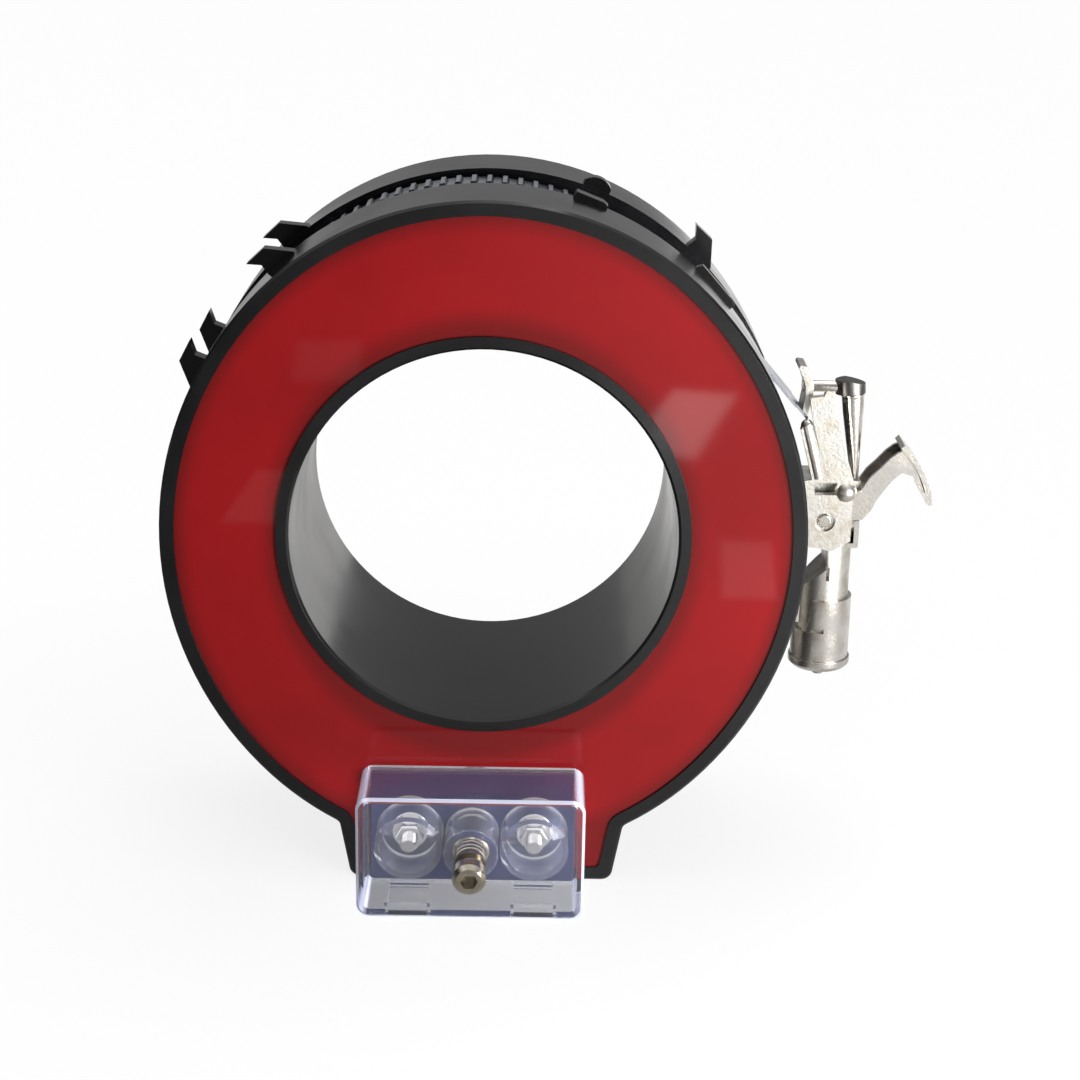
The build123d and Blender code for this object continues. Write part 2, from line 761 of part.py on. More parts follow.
# Lock body: one casting with two cheeks, an arm with a prong, a seat beam and a spigot
body_foot = [(-9.6, -12.8), (-5.2, -12.8), (1.1, -14.2), (6.7, -10.5)]
arm = [(6.7, 4.6), (6.5, 10.3), (3.2, 20.3), (-0.1, 31.5), (-1.8, 39.6), (-3.8, 39.6), (-4.4, 37.8), (-8.8, 37.2)]
notch = [(-8.2, 32.5), (-5.4, 21.5), (-2.1, 11.8)]
prong = [(-7.9, 28.4), (-9.3, 30.3), (-11.3, 26.7), (-6.8, 10.1), (-9.6, 9.5)]
cheek_inner_y = lock_front_y + cheek_thickness
inner_width = lock_width - 2 * cheek_thickness
with BuildPart() as lock_body:
    with BuildSketch(at_depth(lock_front_y)):
        lock_outline(body_foot + arm + notch + prong)
    extrude(amount=-cheek_thickness)
    with BuildSketch(at_depth(cheek_inner_y + inner_width)):
        lock_outline(body_foot + [(6.7, 4.6), (6.5, 9.5), (-9.6, 9.5)])
    extrude(amount=-cheek_thickness)
    with BuildSketch(at_depth(cheek_inner_y)):
        lock_outline([(-9.6, -12.8), (-6.6, -12.8), (-6.6, 9.5), (-9.6, 9.5)])
        lock_outline(body_foot + [(6.7, -8.5), (1.1, -12.2), (-5.2, -10.8), (-9.6, -10.8)])
    extrude(amount=-inner_width)
    with BuildSketch(at_depth(lock_y)):
        lock_outline([(-6.6, 4.5), (9.8, 4.5), (9.8, 8.0), (-6.6, 8.0)])
    extrude(amount=beam_width / 2, both=True)
    lock_disc(spigot_bottom_z, spigot_radius, spigot_length, spigot_shift)
    prong_foot = Plane(
        (lock_x + prong_shift, lock_front_y - prong_bulge + prong_radius, prong_z),
        x_dir=(0, 1, 0),
        z_dir=(-math.sin(math.radians(prong_lean)), 0, math.cos(math.radians(prong_lean))),
    )
    with BuildSketch(prong_foot):
        Circle(prong_radius)
    extrude(amount=prong_length)
    with Locations(prong_foot.offset(prong_length).origin):
        Sphere(prong_radius)
    with BuildSketch(at_depth(lock_front_y)):
        lock_outline([(-5.8, 5.0), (1.3, 5.0), (1.3, 9.1), (-5.8, 9.1)])
    extrude(amount=-cheek_thickness, mode=Mode.SUBTRACT)
    with Locations((lock_x + ball_shift, lock_front_y + ball_radius - ball_height, ball_z)):
        Sphere(ball_radius)
    with BuildSketch(at_depth(cheek_inner_y)):
        with Locations((lock_x + ball_shift, ball_z)):
            Circle(ball_radius)
    extrude(amount=-(2 * ball_radius - ball_height - cheek_thickness), mode=Mode.SUBTRACT)
    pin_step(lock_front_y, pin_radius, lock_width, Mode.SUBTRACT)
    pin_step(lock_front_y, pin_recess_radius, pin_recess_depth, Mode.SUBTRACT)
    pin_step(lock_front_y + lock_width - pin_recess_depth, pin_recess_radius, pin_recess_depth, Mode.SUBTRACT)
    with BuildSketch(key_plane):
        Circle(spindle_radius)
    extrude(amount=-spindle_length, mode=Mode.SUBTRACT)
write("lock_body", lock_body.part)

# Pivot pin, riveted over in both recesses
with BuildPart() as pivot_pin:
    recess_floor = pin_recess_depth - pin_head_thickness
    pin_step(lock_front_y + recess_floor, pin_radius, lock_width - 2 * recess_floor)
    pin_step(lock_front_y + recess_floor, pin_head_radius, pin_head_thickness)
    pin_step(lock_front_y + lock_width - pin_recess_depth, pin_head_radius, pin_head_thickness)
    chamfer(pivot_pin.faces().sort_by(Axis.Y)[0].edges(), pin_head_thickness * 0.4)
write("pivot_pin", pivot_pin.part)

# Release lever: a bent channel open on top, ending in a curved thumb pad
lever_top = [(-4.2, -0.8), (9.8, 5.9), (12.6, 10.2), (15.6, 13.2), (18.5, 16.5), (20.9, 18.5), (23.3, 19.5)]
lever_end = [(25.6, 15.6), (28.0, 11.0), (30.4, 5.3), (28.9, 5.3), (27.9, 8.2), (26.4, 10.7)]
lever_low = [(22.6, 11.9), (20.3, 10.0), (17.4, 6.3), (14.7, 2.1), (13.6, -0.6), (10.6, -4.3), (6.1, -4.4), (-0.06, -7.63)]
channel = [(-16, -20), (13.9, -20), (13.9, 3.3), (16.3, 7.2), (19.4, 11.1), (22.0, 13.3), (32, 13.3), (32, 40), (-16, 40)]
with BuildPart() as release_lever:
    with BuildSketch(at_depth(lock_y)):
        lock_outline(lever_top + lever_end + lever_low)
        with Locations((pin_x, pin_z)):
            Circle(eye_radius)
    extrude(amount=flange_gap / 2 + flange_thickness, both=True)
    with BuildSketch(at_depth(lock_y)):
        lock_outline(channel)
    extrude(amount=flange_gap / 2, both=True, mode=Mode.SUBTRACT)
    with BuildSketch(at_depth(lock_y)):
        with Locations((pin_x, pin_z)):
            Circle(pad_radius)
            Circle(pad_radius - pad_thickness, mode=Mode.SUBTRACT)
        sector((pin_x, pin_z), pad_low_angle, pad_high_angle, 2 * pad_radius)
    extrude(amount=pad_width / 2, both=True)
    pin_step(lock_front_y, pin_radius + running_clearance, lock_width, Mode.SUBTRACT)
write("release_lever", release_lever.part)

def spring(foot, radius, pitch, length, wire):
    """Coil of flat-sided wire standing on the foot plane."""
    steps = round(12 * length / pitch)
    with BuildLine() as coil:
        Polyline(
            *[
                foot.from_local_coords(
                    (radius * math.cos(step * math.pi / 6), radius * math.sin(step * math.pi / 6), pitch * step / 12)
                )
                for step in range(steps + 1)
            ]
        )
    with BuildSketch(Plane(coil.line @ 0, z_dir=coil.line % 0)) as section:
        RegularPolygon(wire, 6)
    sweep(section.sketch, path=coil.line, transition=Transition.RIGHT)


# Torsion coil on the pin between the lever's flanges
coil_length = flange_gap - 2 * coil_wire - 2 * axial_clearance
with BuildPart() as lever_spring:
    coil_foot = Plane((pin_x, lock_y - coil_length / 2, pin_z), x_dir=(1, 0, 0), z_dir=(0, 1, 0))
    spring(coil_foot, coil_radius, coil_pitch, coil_length, coil_wire)
write("lever_spring", lever_spring.part)

# Tension sleeve, turning on its spindle between the seat beam and the trunnion cap
sleeve_bore = spindle_radius + running_clearance
with BuildPart() as tension_sleeve:
    with BuildSketch(key_section):
        with BuildLine():
            Polyline(
                (sleeve_bore, 0),
                (key_head_radius, 0),
                (key_head_radius, -key_lip),
                (key_head_radius - key_step, -key_lip),
                (key_head_radius - 2 * key_step, -key_barrel),
                (key_tip_radius, -key_length),
                (sleeve_bore, -key_length),
                close=True,
            )
        make_face()
    revolve(axis=key_axis)
write("tension_sleeve", tension_sleeve.part)

with BuildPart() as spindle:
    with BuildSketch(key_plane.offset(cap_height / 3)):
        Circle(spindle_radius)
    extrude(amount=-(cap_height / 3 + spindle_length))
write("spindle", spindle.part)

# Crossbar from the hook plate into the trunnion cap
crossbar_left = lock_x - 10.7
crossbar_right = key_x + cap_shift - cap_length / 2 + crossbar_seat
with BuildPart() as crossbar:
    with BuildSketch(Plane.YZ.offset(crossbar_left)):
        with Locations((lock_y, crossbar_z)):
            Circle(crossbar_radius)
    extrude(amount=crossbar_right - crossbar_left)
write("crossbar", crossbar.part)

with BuildPart() as trunnion_cap:
    with BuildSketch(key_plane.offset(axial_clearance)):
        with Locations((cap_shift, 0)):
            Ellipse(cap_length / 2, cap_width / 2)
    extrude(amount=cap_height - axial_clearance)
    with BuildSketch(key_section):
        with BuildLine():
            Polyline(
                (-cap_length, cap_height + 1),
                (-cap_length * 0.2, cap_height),
                (cap_length / 2 + cap_shift, cap_height - cap_slant),
                (cap_length, cap_height - cap_slant),
                (cap_length, cap_height + 1),
                close=True,
            )
        make_face()
    extrude(amount=cap_width, both=True, mode=Mode.SUBTRACT)
    with BuildSketch(key_plane):
        Circle(spindle_radius)
    extrude(amount=cap_height / 3, mode=Mode.SUBTRACT)
    with BuildSketch(Plane.YZ.offset(crossbar_left)):
        with Locations((lock_y, crossbar_z)):
            Circle(crossbar_radius)
    extrude(amount=crossbar_right - crossbar_left, mode=Mode.SUBTRACT)
write("trunnion_cap", trunnion_cap.part)

# Hook plate on the strap's end: its foot lies on the strap's outer face
with BuildPart() as hook_plate:
    with BuildSketch(at_depth(lock_y)):
        lock_outline(
            [(-10.1, 46.6), (-8.4, 43.6), (-7.5, 40.3), (-7.7, 36.5), (-8.8, 31.8), (-8.8, 27.0)]
            + [(-10.8, 27.0), (-10.8, 31.8), (-10.1, 36.5), (-10.1, 40.0), (-11.2, 43.2), (-12.7, 46.0), (-12.2, 46.9)]
        )
    extrude(amount=hook_width / 2, both=True)
    with BuildSketch(run_plane):
        with Locations((run_length, -5 + strap_thickness / 2)):
            Rectangle(20, 10)
    extrude(amount=hook_width / 2, both=True, mode=Mode.SUBTRACT)
    with BuildSketch(Plane.YZ.offset(crossbar_left)):
        with Locations((lock_y, crossbar_z)):
            Circle(crossbar_radius)
    extrude(amount=crossbar_right - crossbar_left, mode=Mode.SUBTRACT)
write("hook_plate", hook_plate.part)

# Screw housing: a tube with a half-round tongue on top and a saddle on the strap
tongue_cut = [(-14, -33.8), (0, -20.5), (0, -13.96), (1.1, -14.2), (6.7, -10.5), (12, -7.0), (12, 5), (-14, 5)]
with BuildPart() as screw_housing:
    lock_disc(drum_bottom_z, tube_radius, -drum_bottom_z)
    with BuildSketch(at_depth(lock_y)):
        lock_outline([(-24, -41), (0, -41), (0, -20), (-24, -30)])
    extrude(amount=web_width / 2, both=True)
    with BuildSketch(at_depth(lock_front_y)):
        oval(saddle_inner)
    extrude(amount=-lock_width, mode=Mode.SUBTRACT)
    with BuildSketch(at_depth(lock_front_y)):
        lock_outline(tongue_cut)
    extrude(amount=-lock_width, mode=Mode.SUBTRACT)
    with BuildSketch(at_depth(lock_front_y)):
        oval(saddle_inner - saddle_thickness)
        oval(saddle_inner, mode=Mode.SUBTRACT)
        sector(loop_centre, saddle_low_angle, saddle_high_angle, 2 * side_arc)
    extrude(amount=-lock_width)
    lock_disc(drum_bottom_z, tube_bore_radius, tube_bore_top_z - drum_bottom_z, 0.0, Mode.SUBTRACT)
    lock_disc(spigot_bottom_z, spigot_radius, -spigot_bottom_z, spigot_shift, Mode.SUBTRACT)
    with BuildSketch(at_depth(lock_y - tube_radius)):
        lock_outline([(-0.3, -24.6), (0.8, -24.6), (0.8, -20.0), (-0.3, -20.0)])
    extrude(amount=-3.0, mode=Mode.SUBTRACT)
write("screw_housing", screw_housing.part)

# Drum cup round the tube, with a bayonet slot for the housing's web
with BuildPart() as drum_cup:
    lock_disc(drum_bottom_z, drum_radius, drum_top_z - drum_bottom_z)
    lock_disc(drum_bottom_z, tube_radius, drum_top_z - drum_bottom_z, 0.0, Mode.SUBTRACT)
    with BuildSketch(at_depth(lock_y - drum_radius)):
        lock_outline([(-12, drum_top_z), (-12, -42.8), (-0.1, -42.8), (-0.1, -41.2), (-5.2, -41.2), (-4.2, drum_top_z)])
    extrude(amount=-2 * drum_radius, mode=Mode.SUBTRACT)
write("drum_cup", drum_cup.part)

with BuildPart() as end_cap:
    lock_disc(drum_bottom_z - end_cap_thickness, end_cap_radius, end_cap_thickness)
    chamfer(end_cap.edges().group_by(Axis.Z)[0], end_cap_chamfer)
    lock_disc(
        drum_bottom_z - end_cap_thickness, rod_radius + running_clearance, end_cap_thickness, 0.0, Mode.SUBTRACT
    )
write("end_cap", end_cap.part)

# Draw rod and its spring inside the tube
rod_bottom_z = drum_bottom_z - end_cap_thickness - rod_reach
rod_top_z = tube_bore_top_z - 1.5
with BuildPart() as draw_rod:
    lock_disc(rod_bottom_z, rod_radius, rod_top_z - rod_bottom_z)
    lock_disc(rod_top_z - rod_collar_thickness, rod_collar_radius, rod_collar_thickness)
    chamfer(draw_rod.edges().group_by(Axis.Z)[0], rod_radius * 0.2)
write("draw_rod", draw_rod.part)

spring_low_z = drum_bottom_z + spring_wire + axial_clearance
spring_high_z = rod_top_z - rod_collar_thickness - spring_wire - axial_clearance
with BuildPart() as draw_spring:
    spring_foot = Plane((lock_x, lock_y, spring_low_z))
    spring(spring_foot, spring_radius, spring_pitch, spring_high_z - spring_low_z, spring_wire)
write("draw_spring", draw_spring.part)

# Keeper: an angle strip on the tube that the lever's heel rests above
keeper_x = lock_x + tube_radius
with BuildPart() as keeper:
    with BuildSketch(at_depth(lock_y)):
        with BuildLine():
            Polyline(
                (lock_x, keeper_low_z),
                (keeper_x + keeper_thickness, keeper_low_z),
                (keeper_x + keeper_thickness, keeper_high_z),
                (keeper_x, keeper_high_z),
                (keeper_x, keeper_low_z + keeper_thickness),
                (lock_x, keeper_low_z + keeper_thickness),
                close=True,
            )
        make_face()
        lock_outline([(0, -20), (6.8, -20), (6.8, -10), (0, -10)], Mode.SUBTRACT)
    extrude(amount=keeper_width / 2, both=True)
    lock_disc(-20, tube_radius, 20, 0.0, Mode.SUBTRACT)
write("keeper_bracket", keeper.part)
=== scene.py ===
import logging
import math
from dataclasses import dataclass, field
from enum import Enum

import bmesh
import bpy
from mathutils import Matrix, Vector


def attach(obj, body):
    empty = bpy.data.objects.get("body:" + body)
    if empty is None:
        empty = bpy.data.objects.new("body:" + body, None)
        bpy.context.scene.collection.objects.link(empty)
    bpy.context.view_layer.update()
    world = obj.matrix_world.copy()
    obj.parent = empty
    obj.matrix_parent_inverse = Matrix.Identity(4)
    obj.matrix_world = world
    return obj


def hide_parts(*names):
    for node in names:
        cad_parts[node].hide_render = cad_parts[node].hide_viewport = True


LOG = logging.getLogger("current_transformer")
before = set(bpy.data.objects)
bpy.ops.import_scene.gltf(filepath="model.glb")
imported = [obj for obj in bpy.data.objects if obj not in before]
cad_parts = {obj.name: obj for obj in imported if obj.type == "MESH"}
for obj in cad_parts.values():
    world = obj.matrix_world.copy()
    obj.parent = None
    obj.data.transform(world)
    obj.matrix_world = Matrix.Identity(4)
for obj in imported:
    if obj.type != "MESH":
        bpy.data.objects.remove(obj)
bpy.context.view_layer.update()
MM = 0.001
MERGE_DISTANCE = 1e-6
SPIN_MERGE_DISTANCE = 1e-7
FLAT_ANGLE = math.radians(0.4)
CASE_DROP = 1.8 * MM
CASE_SQUASH = 0.934
# Painted shade, with a painted reflection of the black walls, on the resin near the case's walls: its fades
# from the outer and inner wall, its strength and its dark tone.
WALL_SHADE_FADES = ((89.5 * MM, 95.6 * MM), (70.5 * MM, 63.5 * MM))
WALL_SHADE_SHARE = 0.62
WALL_SHADE_TONE = (0.07, 0.006, 0.006, 1.0)
GLASS_IOR = 1.46
SHADOW_TINT = (0.93, 0.93, 0.96, 1.0)
# Tint of the clear mouldings' milky veil and of the pale sheen painted on their edges.
MILKY_AND_SHEEN_TINT = (0.80, 0.83, 1.0, 1.0)


@dataclass
class Wiring:
    """Short ways to add linked nodes to one node tree.

    Args:
        tree: The node tree of a material or world.
    """

    tree: bpy.types.NodeTree

    def add(self, kind: str, **settings: object) -> bpy.types.Node:
        """Add a node.

        Args:
            kind: Type name of the node.
            **settings: Attributes to set on it.

        Returns:
            The node.
        """
        node = self.tree.nodes.new(kind)
        for name, value in settings.items():
            setattr(node, name, value)
        return node

    def link(self, source: bpy.types.NodeSocket, target: bpy.types.NodeSocket) -> None:
        """Join two sockets.

        Args:
            source: Output to read.
            target: Input to feed.
        """
        self.tree.links.new(source, target)

    def join(
        self, operation: str, first: bpy.types.NodeSocket, second: bpy.types.NodeSocket | float
    ) -> bpy.types.NodeSocket:
        """Join two values by arithmetic.

        Args:
            operation: Name of the operation.
            first: The first value.
            second: The second value, a socket or a number.

        Returns:
            The result.
        """
        node = self.add("ShaderNodeMath", operation=operation)
        self.link(first, node.inputs[0])
        if isinstance(second, float):
            node.inputs[1].default_value = second
        else:
            self.link(second, node.inputs[1])
        return node.outputs[0]

    def ramp(
        self,
        value: bpy.types.NodeSocket,
        across: tuple[float, float],
        to: tuple[float, float] = (0.0, 1.0),
        smooth: bool = True,
    ) -> bpy.types.NodeSocket:
        """Carry a value from one range to another and hold it at the ends.

        Args:
            value: The value.
            across: Range that it is read over.
            to: Range that it is carried to.
            smooth: Whether the way between is eased.

        Returns:
            The value carried over.
        """
        node = self.add("ShaderNodeMapRange", interpolation_type="SMOOTHSTEP" if smooth else "LINEAR")
        node.inputs["From Min"].default_value = across[0]
        node.inputs["From Max"].default_value = across[1]
        node.inputs["To Min"].default_value = to[0]
        node.inputs["To Max"].default_value = to[1]
        self.link(value, node.inputs["Value"])
        return node.outputs["Result"]

    def length(self, vector: bpy.types.NodeSocket) -> bpy.types.NodeSocket:
        """Measure a vector.

        Args:
            vector: The vector.

        Returns:
            Its length.
        """
        node = self.add("ShaderNodeVectorMath", operation="LENGTH")
        self.link(vector, node.inputs[0])
        return node.outputs["Value"]

    def split(self, vector: bpy.types.NodeSocket) -> bpy.types.Node:
        """Part a vector into its three values.

        Args:
            vector: The vector.

        Returns:
            The node whose outputs are named X, Y and Z.
        """
        node = self.add("ShaderNodeSeparateXYZ")
        self.link(vector, node.inputs["Vector"])
        return node

    def longest_side(self, vector: bpy.types.NodeSocket) -> bpy.types.NodeSocket:
        """Find the largest of a vector's three sizes.

        Args:
            vector: The vector.

        Returns:
            The largest of its sizes along X, Y and Z.
        """
        size = self.add("ShaderNodeVectorMath", operation="ABSOLUTE")
        self.link(vector, size.inputs[0])
        sides = self.split(size.outputs["Vector"])
        most = self.join("MAXIMUM", sides.outputs["X"], sides.outputs["Y"])
        return self.join("MAXIMUM", most, sides.outputs["Z"])

    def place(self) -> bpy.types.NodeSocket:
        """Read the place on the piece.

        Returns:
            The place, in metres.
        """
        return self.add("ShaderNodeTexCoord").outputs["Object"]


class Body(Enum):
    """Bodies of the frame that pieces ride on."""

    TRANSFORMER = "transformer"
    LEVER = "lever"
    SLEEVE = "sleeve"


class Surface(Enum):
    """How a finish reaches the shader."""

    OPAQUE = "opaque"
    # Like opaque, with painted shade near the case's walls.
    POURED_WALL_SHADED = "poured"
    CLEAR = "clear"


@dataclass(frozen=True)
class Finish:
    """A procedural finish: colour drift, roughness drift and fine relief on one shader, with painted shade at
    the walls for a poured finish and a painted edge sheen for a clear one.

    Args:
        name: Name of the finish.
        colour: Linear base colour.
        drift: Second colour that patches of the surface lean to.
        drift_scale: Size of the patches, in repeats per metre.
        metallic: Metallic value of the shader.
        roughness: Lowest roughness.
        roughness_drift: What the patches add to the roughness.
        relief: Bump strength of the fine relief.
        relief_scale: Size of the relief, in repeats per metre.
        specular: Specular level of the shader.
        surface: How the finish takes light; a poured one gets painted shade near the case's walls.
        haze_and_edge_sheen: White veil of a clear finish: milkiness on its flat sides, and a painted pale
            sheen on its edges.
    """

    name: str
    colour: tuple[float, float, float]
    drift: tuple[float, float, float]
    drift_scale: float = 60.0
    metallic: float = 0.0
    roughness: float = 0.4
    roughness_drift: float = 0.1
    relief: float = 0.05
    relief_scale: float = 900.0
    specular: float = 0.5
    surface: Surface = Surface.OPAQUE
    haze_and_edge_sheen: tuple[float, float] = (0.0, 0.0)

    def material(self) -> bpy.types.Material:
        """Build the material once and return it.

        Returns:
            The material with this finish.
        """
        made = bpy.data.materials.get(self.name + "_finish")
        if made:
            return made
        made = bpy.data.materials.new(self.name + "_finish")
        made.use_nodes = True
        wiring = Wiring(made.node_tree)
        shader = made.node_tree.nodes["Principled BSDF"]
        shader.inputs["Metallic"].default_value = self.metallic
        shader.inputs["Specular IOR Level"].default_value = self.specular
        place = wiring.place()
        patches = wiring.add("ShaderNodeTexNoise")
        patches.inputs["Scale"].default_value = self.drift_scale
        patches.inputs["Detail"].default_value = 4.0
        wiring.link(place, patches.inputs["Vector"])
        spread = wiring.ramp(patches.outputs["Fac"], (0.38, 0.66), smooth=False)
        tone = wiring.add("ShaderNodeMix", data_type="RGBA")
        tone.inputs[6].default_value = (*self.colour, 1.0)
        tone.inputs[7].default_value = (*self.drift, 1.0)
        wiring.link(spread, tone.inputs["Factor"])
        colour = tone.outputs[2]
        # A poured finish gets painted shade, with a painted reflection of the black walls, near the case's
        # walls.
        if self.surface is Surface.POURED_WALL_SHADED:
            colour = self._paint_wall_shade(wiring, place, colour)
        wiring.link(colour, shader.inputs["Base Color"])
        most = self.roughness + self.roughness_drift
        rough = wiring.ramp(spread, (0.0, 1.0), (self.roughness, most), smooth=False)
        wiring.link(rough, shader.inputs["Roughness"])
        if self.relief > 0:
            self._relieve(wiring, place, shader)
        # A clear finish lets light through and gets a milky veil with a painted pale sheen on its edges.
        if self.surface is Surface.CLEAR:
            self._clear(wiring, shader)
        return made

    def _relieve(self, wiring: Wiring, place: bpy.types.NodeSocket, shader: bpy.types.ShaderNode) -> None:
        """Add the fine relief.

        Args:
            wiring: The material's node tree.
            place: Place on the piece, in metres.
            shader: The material's main shader.
        """
        grain = wiring.add("ShaderNodeTexNoise")
        grain.inputs["Scale"].default_value = self.relief_scale
        grain.inputs["Detail"].default_value = 3.0
        wiring.link(place, grain.inputs["Vector"])
        bump = wiring.add("ShaderNodeBump")
        bump.inputs["Strength"].default_value = self.relief
        bump.inputs["Distance"].default_value = 0.4 * MM
        wiring.link(grain.outputs["Fac"], bump.inputs["Height"])
        wiring.link(bump.outputs["Normal"], shader.inputs["Normal"])

    def _paint_wall_shade(
        self, wiring: Wiring, place: bpy.types.NodeSocket, colour: bpy.types.NodeSocket
    ) -> bpy.types.NodeSocket:
        """Paint shade, and a reflection of the black walls, onto the resin where it meets them.

        Args:
            wiring: The material's node tree.
            place: Place on the piece, in metres.
            colour: Colour away from the walls.

        Returns:
            The colour with its painted shade at the borders.
        """
        # Painted shade near both walls of the case, read from the distance to the bore's axis.
        squeeze = wiring.add("ShaderNodeMapping")
        squeeze.inputs["Location"].default_value = (0.0, 0.0, CASE_DROP * CASE_SQUASH)
        squeeze.inputs["Scale"].default_value = (1.0, 0.0, CASE_SQUASH)
        wiring.link(place, squeeze.inputs["Vector"])
        reach = wiring.length(squeeze.outputs["Vector"])
        outer, inner = (wiring.ramp(reach, fade, (0.0, WALL_SHADE_SHARE)) for fade in WALL_SHADE_FADES)
        shade = wiring.add("ShaderNodeMix", data_type="RGBA")
        shade.inputs[7].default_value = WALL_SHADE_TONE
        wiring.link(wiring.join("MAXIMUM", outer, inner), shade.inputs["Factor"])
        wiring.link(colour, shade.inputs[6])
        return shade.outputs[2]

    def _clear(self, wiring: Wiring, shader: bpy.types.ShaderNode) -> None:
        """Let light through a clear moulding, lay its milky veil and painted edge sheen on it, and let its
        shadow stay light.

        Args:
            wiring: The material's node tree.
            shader: The material's main shader.
        """
        shader.inputs["Transmission Weight"].default_value = 1.0
        shader.inputs["IOR"].default_value = GLASS_IOR
        # Milky veil on the flat sides and a painted pale sheen where the sides turn, both as one diffuse
        # layer.
        veil = wiring.add("ShaderNodeBsdfDiffuse")
        veil.inputs["Color"].default_value = MILKY_AND_SHEEN_TINT
        veiled = wiring.add("ShaderNodeMixShader")
        wiring.link(self._milk_and_edge_sheen(wiring), veiled.inputs["Fac"])
        wiring.link(shader.outputs["BSDF"], veiled.inputs[1])
        wiring.link(veil.outputs["BSDF"], veiled.inputs[2])
        path = wiring.add("ShaderNodeLightPath")
        through = wiring.add("ShaderNodeBsdfTransparent")
        through.inputs["Color"].default_value = SHADOW_TINT
        either = wiring.add("ShaderNodeMixShader")
        wiring.link(path.outputs["Is Shadow Ray"], either.inputs["Fac"])
        wiring.link(veiled.outputs["Shader"], either.inputs[1])
        wiring.link(through.outputs["BSDF"], either.inputs[2])
        wiring.link(either.outputs["Shader"], wiring.tree.nodes["Material Output"].inputs["Surface"])

    def _milk_and_edge_sheen(self, wiring: Wiring) -> bpy.types.NodeSocket:
        """Return the white veil of a clear moulding: a light milkiness on its flat sides, and a painted pale
        sheen, thicker, where a side turns into the next.

        Args:
            wiring: The material's node tree.

        Returns:
            Share of the light that the veil scatters.
        """
        # Pale sheen painted where the normal leaves the main axes, at rounded edges and curves.
        facing = wiring.longest_side(wiring.add("ShaderNodeTexCoord").outputs["Normal"])
        return wiring.ramp(facing, (0.98, 0.8), self.haze_and_edge_sheen, smooth=False)


CASE_PLASTIC = Finish(
    "case_plastic",
    (0.005, 0.005, 0.0055),
    (0.008, 0.008, 0.009),
    drift_scale=40,
    roughness=0.13,
    roughness_drift=0.09,
    relief=0.03,
    relief_scale=1400,
)
RED_RESIN = Finish(
    "red_resin",
    (0.205, 0.006, 0.0075),
    (0.165, 0.0055, 0.0065),
    drift_scale=18,
    roughness=0.025,
    roughness_drift=0.03,
    relief=0.012,
    relief_scale=90,
    specular=0.3,
    # Poured: painted shade near the case's walls.
    surface=Surface.POURED_WALL_SHADED,
)
CORE_STEEL = Finish(
    "core_steel",
    (0.3, 0.3, 0.31),
    (0.24, 0.24, 0.25),
    metallic=1.0,
    roughness=0.35,
    relief=0.1,
    relief_scale=600,
)
WINDING_TAPE = Finish(
    "winding_tape",
    (0.62, 0.55, 0.38),
    (0.55, 0.48, 0.32),
    drift_scale=80,
    roughness=0.7,
    relief=0.3,
    relief_scale=500,
)
COPPER_WIRE = Finish(
    "copper_wire",
    (0.6, 0.2, 0.08),
    (0.5, 0.15, 0.06),
    drift_scale=80,
    metallic=1.0,
    roughness=0.25,
    relief=0.1,
    relief_scale=700,
)
BLOCK_PLASTIC = Finish(
    "block_plastic",
    (0.012, 0.015, 0.045),
    (0.016, 0.019, 0.052),
    drift_scale=50,
    roughness=0.1,
    roughness_drift=0.06,
    relief=0.02,
)
NICKEL = Finish(
    "nickel",
    (0.60, 0.55, 0.47),
    (0.42, 0.37, 0.29),
    drift_scale=160,
    metallic=1.0,
    roughness=0.12,
    roughness_drift=0.14,
    relief=0.08,
    relief_scale=1600,
)
BRIGHT_NICKEL = Finish(
    "bright_nickel",
    (0.93, 0.92, 0.88),
    (0.82, 0.8, 0.75),
    drift_scale=160,
    metallic=1.0,
    roughness=0.1,
    roughness_drift=0.12,
    relief=0.08,
    relief_scale=1600,
)
CAST_NICKEL = Finish(
    "cast_nickel",
    (0.74, 0.72, 0.68),
    (0.42, 0.385, 0.33),
    drift_scale=170,
    metallic=1.0,
    roughness=0.28,
    roughness_drift=0.16,
    relief=0.2,
    relief_scale=1300,
)
ROLLED_NICKEL = Finish(
    "rolled_nickel",
    (0.78, 0.76, 0.72),
    (0.46, 0.42, 0.37),
    drift_scale=110,
    metallic=1.0,
    roughness=0.17,
    roughness_drift=0.16,
    relief=0.14,
)
STAINLESS = Finish(
    "stainless",
    (0.52, 0.54, 0.60),
    (0.42, 0.44, 0.5),
    drift_scale=70,
    metallic=1.0,
    roughness=0.2,
    roughness_drift=0.12,
    relief=0.08,
)
SPRING_STEEL = Finish(
    "spring_steel",
    (0.4, 0.4, 0.42),
    (0.33, 0.33, 0.35),
    drift_scale=90,
    metallic=1.0,
    roughness=0.25,
)
GUNMETAL = Finish(
    "gunmetal",
    (0.085, 0.082, 0.078),
    (0.14, 0.135, 0.125),
    drift_scale=150,
    metallic=1.0,
    roughness=0.22,
    roughness_drift=0.15,
    relief=0.1,
)
CLEAR_COVER = Finish(
    "clear_cover",
    (0.975, 0.978, 0.99),
    (0.97, 0.973, 0.99),
    roughness=0.0,
    roughness_drift=0.01,
    relief=0.0,
    surface=Surface.CLEAR,
    # Faint milkiness on the flat sides; a strong painted pale sheen on the rounded edges.
    haze_and_edge_sheen=(0.015, 0.5),
)
CLEAR_SHROUD = Finish(
    "clear_shroud",
    (0.985, 0.985, 0.985),
    (0.97, 0.97, 0.975),
    roughness=0.0,
    roughness_drift=0.01,
    relief=0.0,
    surface=Surface.CLEAR,
    # Faint milkiness, and a faint painted sheen where the domes curve.
    haze_and_edge_sheen=(0.01, 0.04),
)


